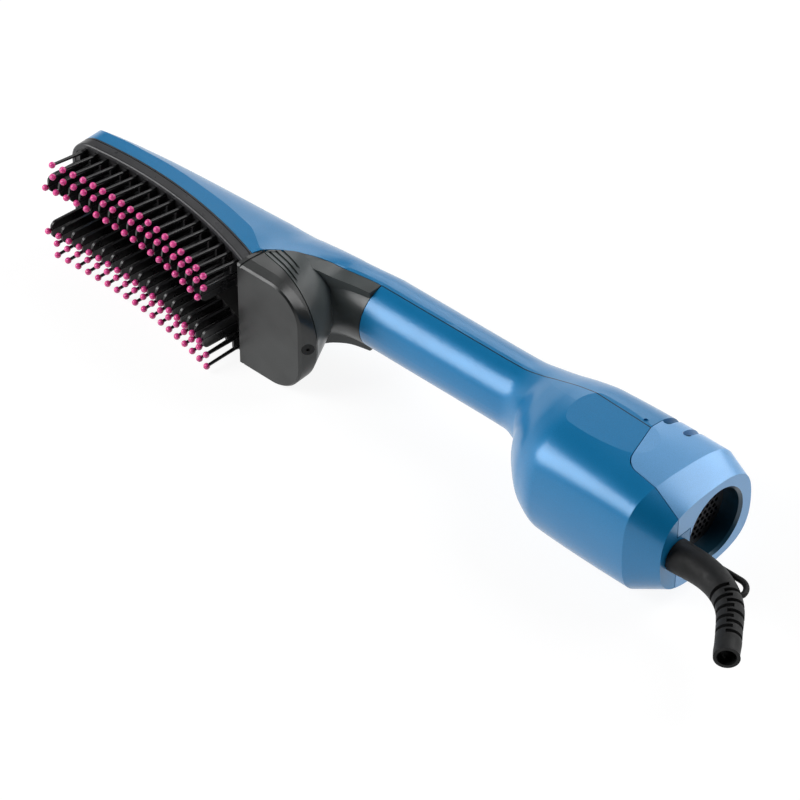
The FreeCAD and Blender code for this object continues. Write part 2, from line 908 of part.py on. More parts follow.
def cap_region(gap):
    """Everything that the cap covers: behind a slanted edge with a rounded corner, less the cord's notch."""
    corner = V(cap_start + cap_lean + gap, -cap_corner_level + gap, -reach)
    prism = polygon([
        V(cap_start + gap, reach, -reach),
        V(cap_start + gap, -parting_offset - parting_fall, -reach),
        corner,
        V(rear_x, -cap_end_level + gap, -reach),
        V(reach, -cap_end_level + gap, -reach),
        V(reach, reach, -reach),
    ]).extrude(V(0, 0, 2 * reach))
    edges = [edge for edge in prism.Edges
             if all((V(v.X, v.Y, 0) - V(corner.x, corner.y, 0)).Length < fit_gap for v in edge.Vertexes)]
    prism = prism.makeFillet(cap_corner_radius, edges)
    side = notch_half_width + gap
    return prism.cut(block(crease_x, reach, -reach, -notch_level + gap, -side, side))


def make_rear_cap():
    shell = handle_shell().common(cap_region(slide_gap))
    collar_start = rear_x - mouth_collar_depth
    collar = rod_x(mouth_radius + mouth_collar_wall, collar_start, rear_x, -mouth_axis)
    bevel = Part.makeCone(mouth_radius, mouth_radius + mouth_bevel + overrun, mouth_bevel + overrun,
                          V(rear_x - mouth_bevel, -mouth_axis, 0), V(1, 0, 0))
    mouth = rod_x(mouth_radius, crease_x - reach, rear_x + overrun, -mouth_axis)
    side = notch_half_width + slide_gap
    notch = block(collar_start - overrun, reach, -reach, slide_gap - notch_level, -side, side)
    cap = shell.fuse(collar.common(handle_solid(0)).common(cap_region(slide_gap)).cut(notch))
    vents = []
    for index in range(2):
        x = cap_start + index * vent_pitch
        hub = V(x + vent_width / 2, vent_level + vent_width / 2, vent_bridge)
        slot = block(x, x + vent_width, hub.y, reach, vent_bridge, reach)
        vents += both_sides(slot.fuse(rod(vent_width / 2, hub, hub + V(0, 0, reach))))
    return one_solid(cap.cut([mouth, bevel] + vents))


def make_inlet_filter():
    """Mesh disc at the inner end of the mouth."""
    radius = mouth_radius - fit_gap
    start = V(rear_x - mouth_collar_depth, -mouth_axis, 0)
    axis = V(1, 0, 0)
    wires = [Part.Wire(Part.makeCircle(radius, start, axis))]
    rows = int(radius / filter_pitch) + 1
    row_pitch = filter_pitch * math.sqrt(0.75)
    for row in range(-rows, rows + 1):
        for column in range(-rows, rows + 1):
            hub = V(0, (column + (row % 2) / 2) * filter_pitch, row * row_pitch)
            if hub.Length < radius - filter_rim - filter_hole / 2:
                wires.append(Part.Wire(Part.makeCircle(filter_hole / 2, start + hub, axis)))
    face = Part.Face(wires[0])
    holes = [Part.Face(wire) for wire in wires[1:]]
    return face.cut(holes).extrude(V(filter_thickness, 0, 0))


# Comb

def make_comb_frame():
    front = face_radius - frame_depth
    back = face_radius - seam_gap
    plate = one_solid(head_outline(0).common(shell_between(front, back)))
    rim = []
    for edge in plate.Edges:
        middle = edge.valueAt((edge.FirstParameter + edge.LastParameter) / 2)
        distance = math.hypot(middle.x - face_x, middle.y - face_y)
        if abs(distance - front) < fit_gap and middle.x < -head_start - fit_gap:
            rim.append(edge)
    plate = plate.makeFillet(frame_round, rim)
    line_back = back - frame_line_place
    shadow_line = shell_between(line_back - frame_line_width, line_back).cut(head_outline(frame_line_depth))
    plate = plate.cut(shadow_line)
    plate = plate.cut(head_outline(frame_wall, frame_wall).common(face_cylinder(ledge_radius)))
    plate = plate.cut(head_outline(frame_wall + frame_ledge, frame_wall + frame_ledge))
    lip = head_outline(wall + seam_gap, wall).cut(head_outline(wall + lip_wall, wall + lip_wall))
    plate = plate.fuse(lip.common(shell_between(back - seam_gap, face_radius + frame_lip)))
    side = channel_half_width + channel_wall + channel_flange + seam_gap
    notch = block(tip_x - overrun, tip_x + head_corner_radius, -reach, reach, -side, side)
    deep = notch.common(face_cylinder(face_radius + frame_lip + overrun))
    slot = block(tip_x - overrun, tip_x + head_corner_radius, -reach, reach,
                 -channel_half_width, channel_half_width)
    return one_solid(plate.cut([slot, deep.common(head_outline(frame_wall))]))


def bristle_rows(x):
    """Root places of the middle and outer rows across the bank, with the sideways lean of each."""
    outer = head_half(x) - row_outer_edge
    return [(mix(row_inner, outer, place), splay)
            for place, splay in zip(row_place_shares, row_splay_shares)]


def bristle_stations(shift=0.0):
    """Roots along the comb, on the base's back face; shift moves them towards the tip."""
    places = []
    for index in range(station_count):
        x = -head_start - first_station - shift - index * station_pitch
        places.append(V(x, face_level(x, ledge_radius - seam_gap), 0))
    return places


def bristle_roots():
    """Root, direction and length of every pin; the inner row stands half a pitch further on."""
    pins = []
    for root in bristle_stations():
        for z, splay in bristle_rows(root.x):
            pins.append((root + V(0, 0, z), bristle_direction(splay), pin_length))
    for root in bristle_stations(station_pitch / 2):
        pins.append((root + V(0, 0, row_inner), bristle_direction(0), pin_length + inner_pin_extra))
    return pins


def bristle_direction(splay):
    return V(-math.sin(lean), -math.cos(lean), splay).normalize()


def make_fin(root, low, high, height, corner):
    """Thin upright plate with rounded front corners, square to the comb's length."""
    half = fin_thickness / 2
    top = -height
    turn = corner * (1 - math.sqrt(0.5))
    wire = Part.Wire([
        line(V(-half, -seam_gap, low), V(-half, top + corner, low)),
        Part.Arc(V(-half, top + corner, low), V(-half, top + turn, low + turn),
                 V(-half, top, low + corner)).toShape(),
        line(V(-half, top, low + corner), V(-half, top, high - corner)),
        Part.Arc(V(-half, top, high - corner), V(-half, top + turn, high - turn),
                 V(-half, top + corner, high)).toShape(),
        line(V(-half, top + corner, high), V(-half, -seam_gap, high)),
        line(V(-half, -seam_gap, high), V(-half, -seam_gap, low)),
    ])
    fin = Part.Face(wire).extrude(V(fin_thickness, 0, 0))
    fin.rotate(V(0, 0, 0), V(0, 0, 1), -bristle_lean_degrees)
    fin.translate(root)
    return fin


def make_upper_bristle_bank():
    inner = channel_half_width + channel_wall + seam_gap
    base = head_outline(frame_wall + seam_gap, frame_wall + seam_gap)
    base = base.common(shell_between(base_front_radius, ledge_radius - seam_gap))
    base = base.common(block(-reach, 0, -reach, reach, inner, reach))
    pieces = []
    for root in bristle_stations():
        rows = bristle_rows(root.x)
        pieces.append(make_fin(root, rows[0][0] - fin_edge, rows[-1][0] + fin_edge, fin_height, fin_corner))
    slots = []
    channel_side = block(-reach, 0, -reach, reach, 0, inner).cut(face_cylinder(base_front_radius - seam_gap))
    low = row_inner - blade_plate_inner
    high = row_inner + blade_plate_outer
    for root in bristle_stations(station_pitch / 2):
        plate = make_fin(root, low, high, blade_plate_height, blade_plate_corner)
        pieces.append(plate.cut(channel_side))
        outer = bristle_rows(root.x)[-1][0]
        slots.append(block(root.x - air_slot_width / 2, root.x + air_slot_width / 2, -reach, reach,
                           high + air_slot_margin, outer - air_slot_margin))
    for root, way, length in bristle_roots():
        start = root + way * pin_start
        pieces.append(Part.makeCone(pin_root_radius, pin_top_radius, length - pin_start, start, way))
    return base.cut(slots[:-1]).multiFuse(pieces)


def make_upper_bristle_tips():
    """Ball tips, each seated on the flat top of its pin."""
    tips = []
    for root, way, length in bristle_roots():
        top = root + way * length
        ball = Part.makeSphere(tip_radius, top + way * tip_sink)
        tips.append(ball.cut(rod(tip_radius, top - way * tip_radius, top)))
    return Part.makeCompound(tips)


def make_air_channel():
    """Trough between the banks, with flanges under their inner edges and steam holes in its floor."""
    outer = channel_half_width + channel_wall
    floor = face_radius + channel_depth - frame_depth
    bounds = head_outline(wall + seam_gap, frame_wall + frame_ledge + seam_gap)
    trough = block(-reach, 0, -reach, reach, -outer, outer)
    trough = trough.common(shell_between(base_front_radius, floor + channel_wall))
    space = block(-reach, 0, -reach, reach, -channel_half_width, channel_half_width)
    trough = trough.cut(space.common(face_cylinder(floor)))
    wide = outer + channel_flange
    flange = block(-reach, 0, -reach, reach, -wide, wide)
    flange = flange.cut(space).common(shell_between(ledge_radius, ledge_radius + channel_wall))
    holes = []
    for index in range(steam_hole_count):
        x = mix(tip_x, -head_start, (index + 1) / (steam_hole_count + 1))
        holes.append(rod_y(steam_hole_radius, -reach, reach, x))
    return one_solid(trough.fuse(flange).common(bounds).cut(holes))


def chamber_ends():
    far_x = -(head_start + chamber_far_share * head_length)
    return far_x, far_x + chamber_length


def make_steam_chamber():
    """Evaporator block on the back of the trough's floor."""
    inner = face_radius + channel_depth - frame_depth + channel_wall + seam_gap
    far_x, near_x = chamber_ends()
    block_space = block(far_x, near_x, -reach, reach, -chamber_half_width, chamber_half_width)
    return block_space.common(shell_between(inner, inner + chamber_depth))


def make_steam_tube():
    """Feed tube from the tank's port, along the shoulder's flank, to the side of the chamber."""
    inner = face_radius + channel_depth - frame_depth + channel_wall + seam_gap
    end_x = chamber_ends()[1] - feed_entry
    level = face_level(end_x, inner + chamber_depth / 2)
    start = V(port_x(), valve_seat() + valve_height + slide_gap, feed_side)
    points = [
        start,
        V(port_x(), level, feed_side),
        V(end_x, level, feed_side),
        V(end_x, level, chamber_half_width + seam_gap),
    ]
    path = bent_path(points, feed_bend_radius)
    outer = sweep(path, start, V(0, 1, 0), feed_tube_radius)
    return outer.cut(sweep(path, start, V(0, 1, 0), feed_tube_bore))


def bent_path(points, radius):
    """Straight runs joined by tangent arcs of one radius at square corners."""
    edges = []
    last = points[0]
    for before, corner, after in zip(points, points[1:], points[2:]):
        way_in = (corner - before).normalize()
        way_out = (after - corner).normalize()
        start = corner - way_in * radius
        end = corner + way_out * radius
        hub = start + way_out * radius
        middle = hub + (corner - hub).normalize() * radius
        edges.append(line(last, start))
        edges.append(Part.Arc(start, middle, end).toShape())
        last = end
    edges.append(line(last, points[-1]))
    return Part.Wire(edges)


def sweep(path, start, way, radius):
    ring = Part.Wire(Part.makeCircle(radius, start, way))
    return path.makePipeShell([ring], True, False)


# Blower

def make_fan_shroud():
    """Ring round the fan, with vanes to the sleeve that holds the motor."""
    ring = tube_x(shroud_radius, shroud_radius - shroud_wall, shroud_start, shroud_start + shroud_length,
                  -blower_axis)
    bore = motor_radius + fit_gap
    sleeve = tube_x(bore + holder_wall, bore, shroud_start, shroud_start + holder_length, -blower_axis)
    vanes = []
    for index in range(vane_count):
        vane = block(shroud_start, shroud_start + holder_length, bore + holder_wall / 2,
                     shroud_radius - shroud_wall / 2, -vane_thickness / 2, vane_thickness / 2)
        vane.rotate(V(0, 0, 0), V(1, 0, 0), index * 360 / vane_count)
        vane.translate(V(0, -blower_axis, 0))
        vanes.append(vane)
    return ring.fuse([sleeve] + vanes)


def motor_ends():
    start = shroud_start - motor_overhang
    return start, start + motor_length


def make_motor_body():
    start, end = motor_ends()
    can = rod_x(motor_radius, start, end, -blower_axis)
    noses = rod_x(motor_nose_radius, start - motor_nose_length, end + motor_nose_length, -blower_axis)
    bore = rod_x(shaft_radius + fit_gap, start - reach, end + reach, -blower_axis)
    return can.fuse(noses).cut(bore)


def make_rotor_shaft():
    start, end = motor_ends()
    fan_end = end + motor_nose_length + fan_gap + fan_length
    return rod_x(shaft_radius, start - motor_nose_length - shaft_tail, fan_end, -blower_axis)


def make_fan():
    """Axial fan: hub with twisted blades."""
    start = motor_ends()[1] + motor_nose_length + fan_gap
    tip = shroud_radius - shroud_wall - fan_tip_gap
    hub = rod_x(fan_hub_radius, start, start + fan_length, 0)
    hub = hub.cut(rod_x(shaft_radius + fit_gap, start - overrun, start + fan_length + overrun, 0))
    middle = start + fan_length / 2
    blade = loft([
        blade_section(middle, fan_hub_radius - blade_thickness, blade_root_degrees),
        blade_section(middle, tip + blade_thickness, blade_tip_degrees),
    ], True).common(rod_x(tip, start, start + fan_length, 0))
    blades = []
    for index in range(blade_count):
        copy = blade.copy()
        copy.rotate(V(0, 0, 0), V(1, 0, 0), index * 360 / blade_count)
        blades.append(copy)
    fan = hub.fuse(blades)
    fan.translate(V(0, -blower_axis, 0))
    return fan


def blade_section(x, radius, degrees):
    """Flat rectangle across a blade at one radius, pitched by an angle."""
    angle = math.radians(degrees)
    half_chord = fan_length / 2 / math.sin(angle) - blade_thickness
    chord = V(math.sin(angle), 0, math.cos(angle)) * half_chord
    across = V(math.cos(angle), 0, -math.sin(angle)) * (blade_thickness / 2)
    hub = V(x, radius, 0)
    corners = [hub + chord + across, hub - chord + across, hub - chord - across, hub + chord - across]
    return Part.makePolygon(corners + corners[:1])


# Circuit board

def board_corners():
    return [(x, z) for x in (board_start + post_inset, board_start + board_length - post_inset)
            for z in (-board_half_width + post_inset, board_half_width - post_inset)]


def board_posts():
    hollow = handle_solid(wall / 2)
    return [rod_y(post_radius, -reach, -board_level - seam_gap, x, z).common(hollow)
            for x, z in board_corners()]


def make_control_board():
    top = -board_level + board_thickness
    board = block(board_start, board_start + board_length, -board_level, top,
                  -board_half_width, board_half_width)
    relay_x = board_start + board_length - post_inset - relay_size
    relay = block(relay_x, relay_x + relay_size, top - fit_gap, top + relay_height,
                  -relay_size / 2, relay_size / 2)
    return board.fuse(relay)


# Controls

def button_flange_top():
    """Highest level of the button's flange under the round back."""
    inner = neck_radius - wall
    outer = button_radius + button_flange
    return math.sqrt(inner ** 2 - outer ** 2) - slide_gap


def make_steam_button():
    top = button_flange_top()
    crown = neck_radius + button_top
    cap = rod_y(button_radius, top - button_flange_thickness, crown, button_place)
    rim = cap.Edges[0] if cap.Edges[0].BoundBox.YMin > top else cap.Edges[2]
    cap = cap.makeFillet(button_top, [rim])
    return cap.fuse(rod_y(button_radius + button_flange, top - button_flange_thickness, top, button_place))


def button_body_top():
    return button_flange_top() - button_flange_thickness - button_travel - slide_gap


def make_button_switch():
    half = button_body_length / 2
    width = button_body_width / 2
    top = button_body_top()
    return block(button_place - half, button_place + half, top - button_body_height, top, -width, width)


def knob_foot_top():
    inner = neck_radius - wall
    return math.sqrt(inner ** 2 - (knob_foot_width / 2) ** 2) - slide_gap


def make_switch_knob():
    """Thumb slide: ribbed pad outside the cover, stem through the slot, foot inside."""
    top = knob_foot_top()
    low = neck_radius + knob_clearance
    stem = centred(knob_place, knob_stem_length, top - knob_foot_thickness, low + knob_height / 2,
                   knob_stem_width)
    pad = centred(knob_place, knob_length, low, low + knob_height, knob_width)
    foot = centred(knob_place, knob_foot_length, top - knob_foot_thickness, top, knob_foot_width)
    grooves = []
    for index in range(knob_rib_count):
        x = mix(knob_place - knob_length / 2, knob_place + knob_length / 2, (index + 1) / (knob_rib_count + 1))
        grooves.append(centred(x, knob_rib_depth * 2, low + knob_height - knob_rib_depth, reach, reach))
    return stem.fuse([pad, foot]).cut(grooves)


def centred(x, length, low, high, width):
    return block(x - length / 2, x + length / 2, low, high, -width / 2, width / 2)


def switch_top():
    return knob_foot_top() - knob_foot_thickness - slide_gap


def make_slide_switch_body():
    return centred(knob_place, switch_length, switch_top() - switch_height, switch_top(), switch_width)


# Cord end

def relief_frame(distance):
    """Point and direction of the strain relief's axis at a distance from the rear wall."""
    bend = math.radians(relief_bend_degrees)
    arc = relief_bend_radius * bend
    start = V(rear_x, -relief_axis, 0)
    if distance <= relief_straight:
        return start + V(distance, 0, 0), V(1, 0, 0)
    turned = min(distance - relief_straight, arc) / relief_bend_radius
    hub = start + V(relief_straight, -relief_bend_radius, 0)
    point = hub + V(math.sin(turned), math.cos(turned), 0) * relief_bend_radius
    way = V(math.cos(turned), -math.sin(turned), 0)
    return point + way * max(0, distance - relief_straight - arc), way


def relief_total():
    return relief_straight + relief_bend_radius * math.radians(relief_bend_degrees) + relief_tail


def relief_radius(share):
    return mix(relief_base_radius, relief_end_radius, min(1, share / (1 - slit_reach_share)))


def relief_ring(distance, radius):
    """Circle round the sleeve's line, with its seam turned away from the mid-plane."""
    point, way = relief_frame(distance)
    ring = Part.Wire(Part.makeCircle(radius, point, way))
    ring.rotate(point, way, relief_seam_degrees)
    return ring


def relief_rod(radius, start, end):
    """Rod along the sleeve's tail, with its seam turned away from the mid-plane."""
    piece = rod(radius, start, end)
    piece.rotate(start, end - start, relief_seam_degrees)
    return piece


def make_strain_relief():
    """Rubber sleeve that bends away from the handle, slit from alternate sides, with a hanging loop."""
    total = relief_total()
    steps = slit_count
    body = loft([relief_ring(slide_gap + (total - slide_gap) * i / steps, relief_radius(i / steps))
                 for i in range(steps + 1)])
    bend_start, way = relief_frame(relief_straight)
    hub = bend_start - V(0, relief_bend_radius, 0)
    bend = Part.Face(relief_ring(relief_straight, relief_bore_radius))
    bend = bend.revolve(hub, V(0, 0, 1), -relief_bend_degrees)
    tail_start, way = relief_frame(total - relief_tail)
    tail = relief_rod(relief_bore_radius, tail_start, tail_start + way * (relief_tail + overrun))
    end = tail_start + way * relief_tail
    mouth = relief_rod(relief_mouth_radius, end - way * relief_mouth_depth, end + way * overrun)
    neck = rod_x(relief_neck_radius, rear_x - rear_wall - relief_flange, rear_x + relief_straight / 2,
                 -relief_axis)
    inside = rear_x - rear_wall - seam_gap
    flange = rod_x(relief_base_radius, inside - relief_flange, inside, -relief_axis)
    through = rod_x(relief_bore_radius, crease_x - reach, bend_start.x, -relief_axis)
    sleeve = body.fuse([neck, flange, hanging_loop()]).cut([through, bend, tail, mouth])
    return one_solid(sleeve.cut(relief_slits()))


def relief_slits():
    total = relief_total()
    slits = []
    for index in range(slit_count):
        share = mix(slit_start_share, 1 - relief_collar / total, index / slit_count)
        point, way = relief_frame(share * total)
        radius = relief_radius(share)
        side = 1 if index % 2 else -1
        cut = block(-slit_width / 2, slit_width / 2, -radius * slit_reach_share, radius + overrun,
                    -radius - overrun, radius + overrun)
        cut.rotate(V(0, 0, 0), V(1, 0, 0), 90 - 90 * side)
        cut.rotate(V(0, 0, 0), V(0, 0, 1), math.degrees(math.atan2(way.y, way.x)))
        cut.translate(point)
        slits.append(cut)
    return slits


def hanging_loop():
    """Thin loop on the back of the sleeve."""
    start = V(rear_x + loop_start, -loop_level, 0)
    turn = start + V(loop_straight, 0, 0)
    hub = turn - V(0, loop_bend_radius, 0)
    back = hub - V(0, loop_bend_radius, 0)
    path = Part.Wire([
        line(start, turn),
        Part.Arc(turn, hub + V(loop_bend_radius, 0, 0), back).toShape(),
        line(back, back - V(loop_return, 0, 0)),
    ])
    return sweep(path, start, V(1, 0, 0), loop_radius)


def clamp_x():
    return rear_x - clamp_from_rear


def clamp_level():
    """Distance from the neck's axis to the top of the clamp's bosses."""
    return relief_axis + seam_gap


def clamp_bosses():
    hollow = handle_solid(wall / 2)
    return [rod_y(clamp_boss_radius, -reach, -clamp_level(), clamp_x(), z).common(hollow)
            for z in (-clamp_screw_offset, clamp_screw_offset)]


def make_cord_clamp():
    bar = block(clamp_x() - clamp_length / 2, clamp_x() + clamp_length / 2, -relief_axis,
                -relief_axis + clamp_thickness, -clamp_half_width, clamp_half_width)
    cuts = [rod_x(relief_bore_radius, -reach, reach, -relief_axis)]
    for z in (-clamp_screw_offset, clamp_screw_offset):
        cuts.append(rod_y(screw_radius + fit_gap, -reach, reach, clamp_x(), z))
    return bar.cut(cuts)


def make_clamp_screws():
    screws = []
    seat = -relief_axis + clamp_thickness
    for z in (-clamp_screw_offset, clamp_screw_offset):
        head = rod_y(screw_head_radius, seat, seat + screw_head_height, clamp_x(), z)
        shank = rod_y(screw_radius, -clamp_level() - clamp_screw_length + seam_gap, seat, clamp_x(), z)
        screws.append(head.fuse(shank))
    return Part.makeCompound(screws)


def build():
    bank = make_upper_bristle_bank()
    tips = make_upper_bristle_tips()
    return {
        "back_cover": make_back_cover(),
        "front_housing": make_front_housing(),
        "rear_cap": make_rear_cap(),
        "inlet_filter": make_inlet_filter(),
        "comb_frame": make_comb_frame(),
        "upper_bristle_bank": bank,
        "lower_bristle_bank": both_sides(bank)[1],
        "upper_bristle_tips": tips,
        "lower_bristle_tips": both_sides(tips)[1],
        "air_channel": make_air_channel(),
        "steam_chamber": make_steam_chamber(),
        "steam_tube": make_steam_tube(),
        "water_tank": make_water_tank(),
        "tank_front_panel": make_tank_front_panel(),
        "filler_plug": make_filler_plug(),
        "tank_valve": make_tank_valve(),
        "air_duct": make_air_duct(),
        "heater_sleeve": make_heater_sleeve(),
        "heater_core": make_heater_core(),
        "fan_shroud": make_fan_shroud(),
        "motor_body": make_motor_body(),
        "rotor_shaft": make_rotor_shaft(),
        "fan": make_fan(),
        "control_board": make_control_board(),
        "steam_button": make_steam_button(),
        "button_switch": make_button_switch(),
        "switch_knob": make_switch_knob(),
        "slide_switch_body": make_slide_switch_body(),
        "strain_relief": make_strain_relief(),
        "cord_clamp": make_cord_clamp(),
        "clamp_screws": make_clamp_screws(),
        "housing_screw": make_housing_screw(),
        "screw_plug": make_screw_plug(),
    }


os.makedirs("parts", exist_ok=True)
for name, shape in build().items():
    shape.translate(-origin)
    shape.exportStep(f"parts/{name}.step")
    box = shape.optimalBoundingBox()
    print(f"{name}: {len(shape.Solids)} solids, valid {shape.isValid()}, volume {shape.Volume:.1f}, "
          f"{box.XLength:.1f} x {box.YLength:.1f} x {box.ZLength:.1f}")
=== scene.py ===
"""Looks of a steam hair styling comb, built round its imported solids.

Lengths are in metres and lie in the solids' own frame: +X runs from the comb's tip to the cord sleeve,
+Y from the bristles to the back, and +Z up, with the comb lying on its flank.
"""

import json
import math

import bpy
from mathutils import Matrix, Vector

millimetre = 0.001

# Camera: a long lens, above and in front of the cord end
picture_width = 800
focal_length_pixels = 4480
sensor_width = 36.0
camera_azimuth = math.radians(42.7)
camera_elevation = math.radians(41.0)
camera_distance = 1.6
aim_point = Vector((-0.1002, -0.0004, 0.0))

# Studio: one soft box on the bristle side, weaker boxes round it, and a pale floor
floor_size = 12.0
floor_drop = 0.2 * millimetre
floor_shine_share = 0.84
floor_shine = 1.08
floor_colour = (0.9, 0.9, 0.9)
room_dark_share = 0.03
room_dark_height = 0.45
room_pale_height = 0.12
ambient_share = 1.0
room_near_share = 0.1
room_turn = 0.5
soft_boxes = {
    "key_box": {"toward": (-0.55, -0.63, 0.55), "distance": 1.3, "size": (0.8, 0.8), "radiance": 7.0},
    "top_box": {"toward": (0.32, 0.68, 0.66), "distance": 1.3, "size": (0.9, 0.9), "radiance": 4.2},
    "back_box": {"toward": (-0.52, 0.7, 0.48), "distance": 1.6, "size": (0.6, 0.6), "radiance": 1.9},
}

# Shells: the painted shade in the groove between them and in the mouth of the rear cap
neck_start = -118 * millimetre
parting_level = 9.5 * millimetre
parting_fall = 2.6 * millimetre
parting_bend = -52 * millimetre
parting_end = 8.5 * millimetre
parting_half_width = 0.16 * millimetre
mouth_centre = (0, 5.4 * millimetre, 23.6 * millimetre)
inner_depth = 6 * millimetre
# Painted shade: the dark colour laid into the parting groove and inside the cap's mouth
painted_shade_colour = (0.006, 0.05, 0.09)

# Sockets of a mix node that carry colours
mix_first, mix_second, mix_result = 6, 7, 2

# Looks that differ from those of the record's slots
special_looks = {
    # The tank's front panel takes a darker copy of the smoked plastic: a painted shade
    "tank_front_panel": "smoked_front_painted_shade",
    # The air channel between the banks is painted near black: a painted shade for the trough's depth
    "air_channel": "deep_black_painted_shade",
    "upper_bristle_bank": "polished_black",
    "lower_bristle_bank": "polished_black",
}


class Surface:
    """A procedural material: its principled shader and the textures that feed it."""

    def __init__(self, name, **settings):
        self.material = bpy.data.materials.new(name)
        self.material.use_nodes = True
        self.tree = self.material.node_tree
        self.shader = self.tree.nodes["Principled BSDF"]
        coordinates = self.tree.nodes.new("ShaderNodeTexCoord")
        self.place = coordinates.outputs["Object"]
        self.normal = coordinates.outputs["Normal"]
        for socket, value in settings.items():
            self.shader.inputs[socket.replace("_", " ")].default_value = value

    def link(self, source, target):
        self.tree.links.new(source, target)
        return source

    def noise(self, scale, detail=2.0, stretch=(1, 1, 1)):
        """Soft speckle; scale counts its spots per metre."""
        mapping = self.tree.nodes.new("ShaderNodeMapping")
        mapping.inputs["Scale"].default_value = stretch
        self.link(self.place, mapping.inputs["Vector"])
        texture = self.tree.nodes.new("ShaderNodeTexNoise")
        texture.inputs["Scale"].default_value = scale
        texture.inputs["Detail"].default_value = detail
        self.link(mapping.outputs["Vector"], texture.inputs["Vector"])
        return texture.outputs["Fac"]

    def spread(self, factor, low, high, start=0.3, end=0.7):
        """A number that runs from low to high as the texture does."""
        node = self.tree.nodes.new("ShaderNodeMapRange")
        limits = {"From Min": start, "From Max": end, "To Min": low, "To Max": high}
        for socket, value in limits.items():
            node.inputs[socket].default_value = value
        self.link(factor, node.inputs["Value"])
        return node.outputs["Result"]

    def measure(self, operation, first, second):
        """One step of sums; a number or a vector stands for a value that is the same everywhere."""
        vectors = ("DOT_PRODUCT", "SUBTRACT_VECTORS", "MULTIPLY_VECTORS")
        kind = "ShaderNodeVectorMath" if operation in vectors else "ShaderNodeMath"
        node = self.tree.nodes.new(kind)
        node.operation = operation.replace("_VECTORS", "")
        for socket, value in zip(node.inputs, (first, second)):
            if isinstance(value, bpy.types.NodeSocket):
                self.link(value, socket)
            else:
                socket.default_value = value
        return node.outputs["Vector" if operation.endswith("_VECTORS") else "Value"]

    def along(self, axis):
        """Distance from the origin along one of the axes, in metres."""
        return self.measure("DOT_PRODUCT", self.place, axis)

    def colours(self, factor, colour, dark, light, start=0.3, end=0.7, shaded_share=None, shade_colour=None):
        """The base colour runs from its dark to its light share as the texture does; where the shade mask is
        1, a painted shade colour replaces it.
        """
        ramp = self.tree.nodes.new("ShaderNodeValToRGB")
        for element, at, share in zip(ramp.color_ramp.elements, (start, end), (dark, light)):
            element.position = at
            element.color = (*shade(colour, share), 1)
        self.link(factor, ramp.inputs["Fac"])
        result = ramp.outputs["Color"]
        if shaded_share is not None:
            # Painted shade: the mask mixes the dark shade colour over the base colour
            mix = self.tree.nodes.new("ShaderNodeMix")
            mix.data_type = "RGBA"
            self.link(shaded_share, mix.inputs["Factor"])
            self.link(result, mix.inputs[mix_first])
            mix.inputs[mix_second].default_value = (*shade_colour, 1)
            result = mix.outputs[mix_result]
        self.link(result, self.shader.inputs["Base Color"])

    def roughness(self, factor, low, high):
        self.link(self.spread(factor, low, high), self.shader.inputs["Roughness"])

    def relief(self, height, depth, strength=1.0):
        """Fine relief of the skin, depth metres deep."""
        bump = self.tree.nodes.new("ShaderNodeBump")
        bump.inputs["Strength"].default_value = strength
        bump.inputs["Distance"].default_value = depth
        self.link(height, bump.inputs["Height"])
        self.link(bump.outputs["Normal"], self.shader.inputs["Normal"])


def shade(colour, share):
    return tuple(channel * share for channel in colour)


def pearl_paint(name, colour, painted_shade_mask):
    """Pearl lacquer: fine flakes under a soft clear coat, with a dark painted shade where the shade mask is
    1.
    """
    paint = Surface(
        name, Metallic=0.25, Specular_IOR_Level=0.2, Coat_Weight=0.9, Coat_Roughness=0.26
    )
    flakes = paint.noise(scale=5200, detail=1.0)
    # Painted shade: the dark colour goes where the mask marks the parting groove or the cap's mouth
    paint.colours(flakes, colour, dark=0.88, light=1.12, shaded_share=painted_shade_mask(paint), shade_colour=painted_shade_colour)
    paint.roughness(paint.noise(scale=60), low=0.4, high=0.48)
    paint.relief(paint.noise(scale=900), depth=0.004 * millimetre, strength=0.25)
    return paint.material


def painted_parting_shade(paint):
    """1 in the fine groove where the two shells meet, which runs along the neck and falls along the grip;
    there the groove's shadow is painted as a dark line.
    """
    x = paint.along((1, 0, 0))
    y = paint.along((0, 1, 0))
    level = paint.spread(x, parting_level, parting_level - parting_fall, start=parting_bend, end=parting_end)
    away = paint.measure("ABSOLUTE", paint.measure("SUBTRACT", y, level), 0)
    line = paint.spread(away, 1, 0, start=parting_half_width, end=2 * parting_half_width)
    on_handle = paint.measure("GREATER_THAN", x, neck_start)
    return paint.measure("MULTIPLY", line, on_handle)


def painted_mouth_shade(paint):
    """1 on the cap's inner walls, which face the mouth's axis; there the shade inside the mouth is painted
    dark.
    """
    centre = paint.measure("SUBTRACT_VECTORS", paint.place, mouth_centre)
    spoke = paint.measure("MULTIPLY_VECTORS", centre, (0, 1, 1))
    outward = paint.measure("DOT_PRODUCT", spoke, paint.normal)
    return paint.spread(outward, 1, 0, start=-inner_depth, end=-inner_depth / 2)


def moulded_plastic(name, colour, low, high, grain=1500, depth=0.012):
    """Satin moulded plastic with a fine spark-eroded grain."""
    plastic = Surface(name, Specular_IOR_Level=0.5)
    plastic.colours(plastic.noise(scale=140), colour, dark=0.85, light=1.2)
    plastic.roughness(plastic.noise(scale=260), low=low, high=high)
    plastic.relief(plastic.noise(scale=grain, detail=3.0), depth=depth * millimetre, strength=0.4)
    return plastic.material


def smoked_plastic(name, colour):
    """Smoked clear plastic with a polished skin and a little light in its depth."""
    plastic = Surface(name, IOR=1.5)
    plastic.colours(plastic.noise(scale=40), colour, dark=0.5, light=1.5)
    plastic.roughness(plastic.noise(scale=120), low=0.28, high=0.4)
    plastic.relief(plastic.noise(scale=90), depth=0.02 * millimetre, strength=0.15)
    return plastic.material


